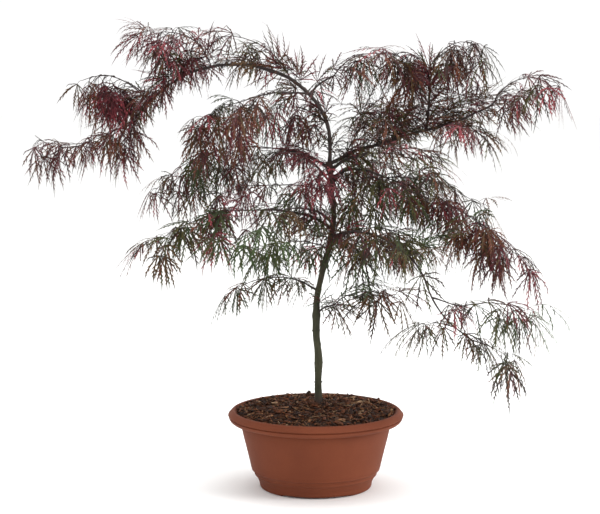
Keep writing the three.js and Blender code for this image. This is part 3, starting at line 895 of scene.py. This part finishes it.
def leafBlades(bases, axes, rows, breadth):
    # all leaves of a piece at once, as vertices, quads and the tint of each quad
    size, roll, tint = rows[:, 8] * mm, np.radians(rows[:, 9]), rows[:, 11].astype(int)
    droop = leafForm["stiffness"] * rows[:, 10]
    count = len(rows)
    rng = np.random.default_rng(count)
    level = unit(np.stack([-axes[:, 1], axes[:, 0], np.zeros(count)], -1))
    up = np.cross(axes, level)
    side = level * np.cos(roll)[:, None] + up * np.sin(roll)[:, None]
    up = np.cross(axes, side)
    vertices, quads, tints = [], [], []
    first = 0
    spreadOut = rng.uniform(*leafForm["spreadOut"], count)
    reach = np.radians(leafForm["toothAngle"])
    usual = leafForm["usualBlade"] * mm
    for angle, share, teeth in leafForm["lobes"]:
        angles = np.radians(angle * spreadOut + rng.normal(0, 6, count))
        start = axes * np.cos(angles)[:, None] + side * np.sin(angles)[:, None]
        start = unit(start - up * 0.2 * abs(angle) / 60)
        hue = np.clip(tint + rng.choice([-1, 0, 0, 1], count), 0, len(tintNames) - 1)
        length = size * share * rng.uniform(0.85, 1.12, count)
        across0 = unit(np.cross(up, start))
        curl = rng.normal(0, leafForm["curl"], count)
        toothed = np.linspace(leafForm["bare"], leafForm["toothed"], teeth)
        tail = np.linspace(leafForm["toothed"], 1, leafForm["tail"] + 1)[1:]
        shares = np.concatenate([[0], toothed, tail])
        steps = len(shares) - 1
        gap = shares[2] - shares[1]
        centre = bases.copy()
        left, right, kites = [], [], []
        for k, s in enumerate(shares):
            pull = (droop * s**1.1)[:, None]
            way = unit(start * (1 - pull) + down * pull + across0 * (curl * s * s)[:, None])
            across = unit(across0 - way * np.sum(across0 * way, -1, keepdims=True))
            half = np.interp(s, [0, 0.35, 0.8, 1], [0.45, 1, 0.75, 0.2])
            half = breadth * leafForm["rib"] * mm * half
            left.append(centre + across * half)
            right.append(centre - across * half)
            if 0 < k < teeth + 1:
                face = np.cross(way, across)
                grow = np.interp(s, [0.18, 0.42, 0.68], [0.45, 1, 0.6])
                tooth = leafForm["tooth"] * mm * (0.45 + 0.55 * share) * grow
                wide = breadth * leafForm["toothWide"] * mm / 2 * (0.6 + 0.4 * grow)
                for hand in (1, -1):  # the two rows of teeth stand half a step apart
                    foot = centre + way * (length * (0.45 - 0.45 * hand) / 2 * gap)[:, None]
                    long = (tooth * rng.uniform(0.75, 1.2, count) * size / usual)[:, None]
                    out = unit(way * cos(reach) + across * hand * sin(reach) - face * leafForm["fold"])
                    beside = across * hand * cos(reach) - way * sin(reach)
                    middle = foot + out * long * 0.45
                    point = foot + out * long + way * 0.12 * long
                    kites += [foot, middle - beside * wide, point, middle + beside * wide]
            if k < steps:
                centre = centre + way * (length * (shares[k + 1] - s))[:, None]
        block = np.stack(left + right + kites, 1)
        each = block.shape[1]
        base = first + np.arange(count)[:, None] * each
        k = np.arange(steps)
        far = k + steps + 1
        quads.append(np.stack([base + k, base + far, base + far + 1, base + k + 1], -1).reshape(-1, 4))
        tints.append(np.repeat(hue * 2 + 1, steps))
        k = 2 * (steps + 1) + 8 * np.arange(teeth)
        quads.append(np.stack([base + k, base + k + 1, base + k + 2, base + k + 3], -1).reshape(-1, 4))
        quads.append(np.stack([base + k + 4, base + k + 7, base + k + 6, base + k + 5], -1).reshape(-1, 4))
        for hand in (1, -1):
            # painted shade: some teeth take the darker rib material in place of shading
            darker = rng.random(count * teeth) < leafForm["toothShade"]
            tints.append(np.repeat(hue * 2, teeth) + darker)
        vertices.append(block.reshape(-1, 3))
        first += count * each
    return np.concatenate(vertices), np.concatenate(quads), np.concatenate(tints)


leafMaterials = []
for tintName, (blade, rib) in tintPlan.items():
    leafMaterials.append(newMaterial(tintName + " leaf", blade, 0.6, Specular_IOR_Level=0.2))
    # the rib material also serves as painted shade on some teeth
    leafMaterials.append(newMaterial(tintName + " rib", rib, 0.6, Specular_IOR_Level=0.2))
twigMaterial = newMaterial("twig bark", sprayPlan["twigColour"], 0.7, Specular_IOR_Level=0.3)


def buildFoliage(label, slot, names, boughs=()):
    foliage = Foliage()
    for name in names:
        growMass(foliage, name, list(massPlan).index(name))
    for leafy in boughs:
        growOnBough(foliage, slot, *leafy)
    twigRows = np.array(foliage.twigs)
    points, _ = walk(twigRows[:, :3], twigRows[:, 3:8], sprayPlan["twigSteps"])
    shares = np.linspace(0, 1, sprayPlan["twigSteps"] + 1)
    radii = (twigRows[:, 8:9] + (twigRows[:, 9:10] - twigRows[:, 8:9]) * shares) * mm
    twigPoints, twigWalls, twigEnds = tubes(sway(points), radii, 5)
    leafRows = np.array(foliage.leaves)
    stalks, stalkWays = walk(leafRows[:, :3], leafRows[:, 3:8], 3)
    # a leaf that would reach out of the crown's box isn't grown
    ends = stalks[:, -1] + unit(stalkWays[:, -1] + 0.5 * down) * leafRows[:, 8:9] * mm
    low, high = np.array(cadBox) + [[-sprayPlan["room"]], [sprayPlan["room"]]]
    inside = np.all((ends > low) & (ends < high), 1)
    leafRows, stalks, stalkWays = leafRows[inside], sway(stalks[inside]), stalkWays[inside]
    stalkRadii = np.full(stalks.shape[:2], sprayPlan["stalkRadius"] * mm)
    stalkPoints, stalkWalls, stalkEnds = tubes(stalks, stalkRadii, 3)
    offset = len(twigPoints)
    walls = np.concatenate([twigWalls, stalkWalls + offset])
    faceSets = [(faces, np.zeros(len(faces))) for faces in (walls, twigEnds, stalkEnds + offset)]
    stems = np.concatenate([twigPoints, stalkPoints])
    twigs = arrayMesh("twigs_" + label, stems, faceSets, [twigMaterial])
    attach(twigs, "root")
    breadth = leafForm["breadth"][slot]
    points, quads, tints = leafBlades(stalks[:, -1], stalkWays[:, -1], leafRows, breadth)
    leaves = arrayMesh("leaves_" + label, points, [(quads, tints)], leafMaterials)
    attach(leaves, "root")
    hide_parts(*names)
    print(f"{label}: {len(twigRows)} twigs, {len(leafRows)} leaves, {2 * len(quads)} triangles")


# one piece of twigs and one of leaves for each finish, and two of each for the largest
byFinish = {}
for name in massPlan:
    byFinish.setdefault(massFinish(name), []).append(name)
for finish, names in byFinish.items():
    label = finish.replace("leaf_", "")
    if finish == "leaf_bronze":
        left = [name for name in names if paths[name][0][-1][0] < 0]
        right = [name for name in names if name not in left]
        onLeft = [leafy for leafy in sprayPlan["boughLeaves"] if leafy[0].startswith("le")]
        onRight = [leafy for leafy in sprayPlan["boughLeaves"] if leafy not in onLeft]
        buildFoliage(label + "_left", finish, left, onLeft)
        buildFoliage(label + "_right", finish, right, onRight)
    else:
        buildFoliage(label, finish, names)

# the compost and its bark chips

compostPlan = {
    "sides": 96,
    # radius and height in mm, from the dome's middle out, then down inside the pot
    "dome": [
        *[(4, 136.8), (12, 136.8), (24, 136.7), (36, 136.5), (48, 136.2), (60, 135.8), (72, 135.4)],
        *[(84, 134.9), (96, 134.3), (108, 133.6), (119, 132.7), (127, 131.4), (132.6, 129.2)],
    ],
    "under": [(131, 125.6), (127, 116), (123.6, 108), (119, 90)],
    "lumps": 1.6,  # mm
    "colours": ("3a2418", "1f130c"),  # light and dark
    "seed": 5,
    "reach": 133,  # mm from the middle that the chips lie
    "chips": 3400,
    "heaped": 160,  # how many of them lie close to the stem
    "chipTones": {
        "dark chip": ("2b1a13", 4),
        "brown chip": ("54321f", 5),
        "red chip": ("7a4428", 3.5),
        "tan chip": ("a2714c", 1.2),
        "pale splinter": ("bd9873", 0.4),
    },
    "chipDark": "2c1a11",
    "splinters": 260,  # long thin ones among the chips
    "mound": 9,  # mm that the chips are heaped against the stem
}


def domeHeight(reach):
    # the compost's height at a distance from the middle, in mm
    dome = np.array(compostPlan["dome"])
    return np.interp(reach, dome[:, 0], dome[:, 1])


def buildCompost():
    soil = turnedShell("soil", compostPlan["dome"] + compostPlan["under"], compostPlan["sides"])
    for vertex in soil.data.vertices:
        x, y, z = vertex.co / mm
        if z > 130.5:
            lump = sin(x / 5.1 + 1) * cos(y / 4.3) + sin((x + y) / 7.7) * cos((x - y) / 6.1 + 2)
            vertex.co.z += 0.5 * compostPlan["lumps"] * lump * mm
    smoothShell(soil, 60)
    relief = {"bump": 0.8, "depth": 0.002, "Specular_IOR_Level": 0.2}
    soil.data.materials.append(mottled("compost", *compostPlan["colours"], 160, 900, **relief))
    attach(soil, "root")
    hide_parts("compost")


def buildChips():
    rng = np.random.default_rng(compostPlan["seed"])
    count, heaped = compostPlan["chips"], compostPlan["heaped"]
    reach = compostPlan["reach"] * np.sqrt(rng.uniform(0, 1, count))
    reach[:heaped] = rng.uniform(7, 26, heaped)
    bearingOut = rng.uniform(0, 2 * pi, count)
    length = np.clip(rng.lognormal(2.05, 0.5, count), 3, 24)
    width = np.clip(length * rng.uniform(0.18, 0.6, count), 1.2, 7)
    thick = np.clip(width * rng.uniform(0.2, 0.5, count), 0.7, 2.6)
    thin = np.arange(count) >= count - compostPlan["splinters"]
    length[thin] = rng.uniform(14, 32, thin.sum())
    width[thin] = rng.uniform(0.9, 1.7, thin.sum())
    thick[thin] = rng.uniform(0.7, 1.1, thin.sum())
    height = domeHeight(reach) + rng.uniform(-0.8, 3.8, count) + 1.2 * thin
    height += compostPlan["mound"] * np.exp(-((reach / 17) ** 2)) * rng.uniform(0.3, 1.2, count)
    place = np.stack([reach * np.cos(bearingOut), reach * np.sin(bearingOut), height], -1)
    stem = trunkPlan["foot"][:2]
    nearTrunk = np.hypot(place[:, 0] - stem[0], place[:, 1] - stem[1]) < 8
    place[nearTrunk, :2] += (place[nearTrunk, :2] - stem) * 1.2
    forward = direction(rng.uniform(0, 360, count), rng.normal(0, 16, count))
    tilt = unit(np.stack([rng.normal(0, 0.5, count), rng.normal(0, 0.5, count), np.ones(count)], -1))
    side = unit(np.cross(tilt, forward))
    tilt = np.cross(forward, side)
    # a chip is a block of eight corners that narrows unevenly towards its ends
    corners = np.array([(a, b, c) for a in (-1, 1) for b in (-1, 1) for c in (-1, 1)], float)
    shape = corners * rng.uniform(0.45, 1, (count, 8, 3))
    vertices = (
        place[:, None]
        + forward[:, None] * shape[:, :, :1] * length[:, None, None] / 2
        + side[:, None] * shape[:, :, 1:2] * width[:, None, None] / 2
        + tilt[:, None] * shape[:, :, 2:] * thick[:, None, None] / 2
    ) * mm
    block = np.array([(0, 1, 3, 2), (4, 6, 7, 5), (0, 4, 5, 1), (2, 3, 7, 6), (0, 2, 6, 4), (1, 5, 7, 3)])
    faces = (np.arange(count)[:, None, None] * 8 + block).reshape(-1, 4)
    tones = compostPlan["chipTones"]
    weights = np.array([weight for _, weight in tones.values()])
    tone = rng.choice(len(tones), count, p=weights / weights.sum())
    tone[thin] = rng.choice([2, 3, 4], thin.sum(), p=[0.3, 0.45, 0.25])
    relief = {"bump": 0.4, "depth": 0.0006, "Specular_IOR_Level": 0.2}
    dark = compostPlan["chipDark"]
    materials = [mottled(name, code, dark, 220, 1300, **relief) for name, (code, _) in tones.items()]
    chips = arrayMesh("bark_chips", vertices.reshape(-1, 3), [(faces, np.repeat(tone, 6))], materials)
    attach(chips, "root")


buildCompost()
buildChips()
print("compost and bark chips laid")
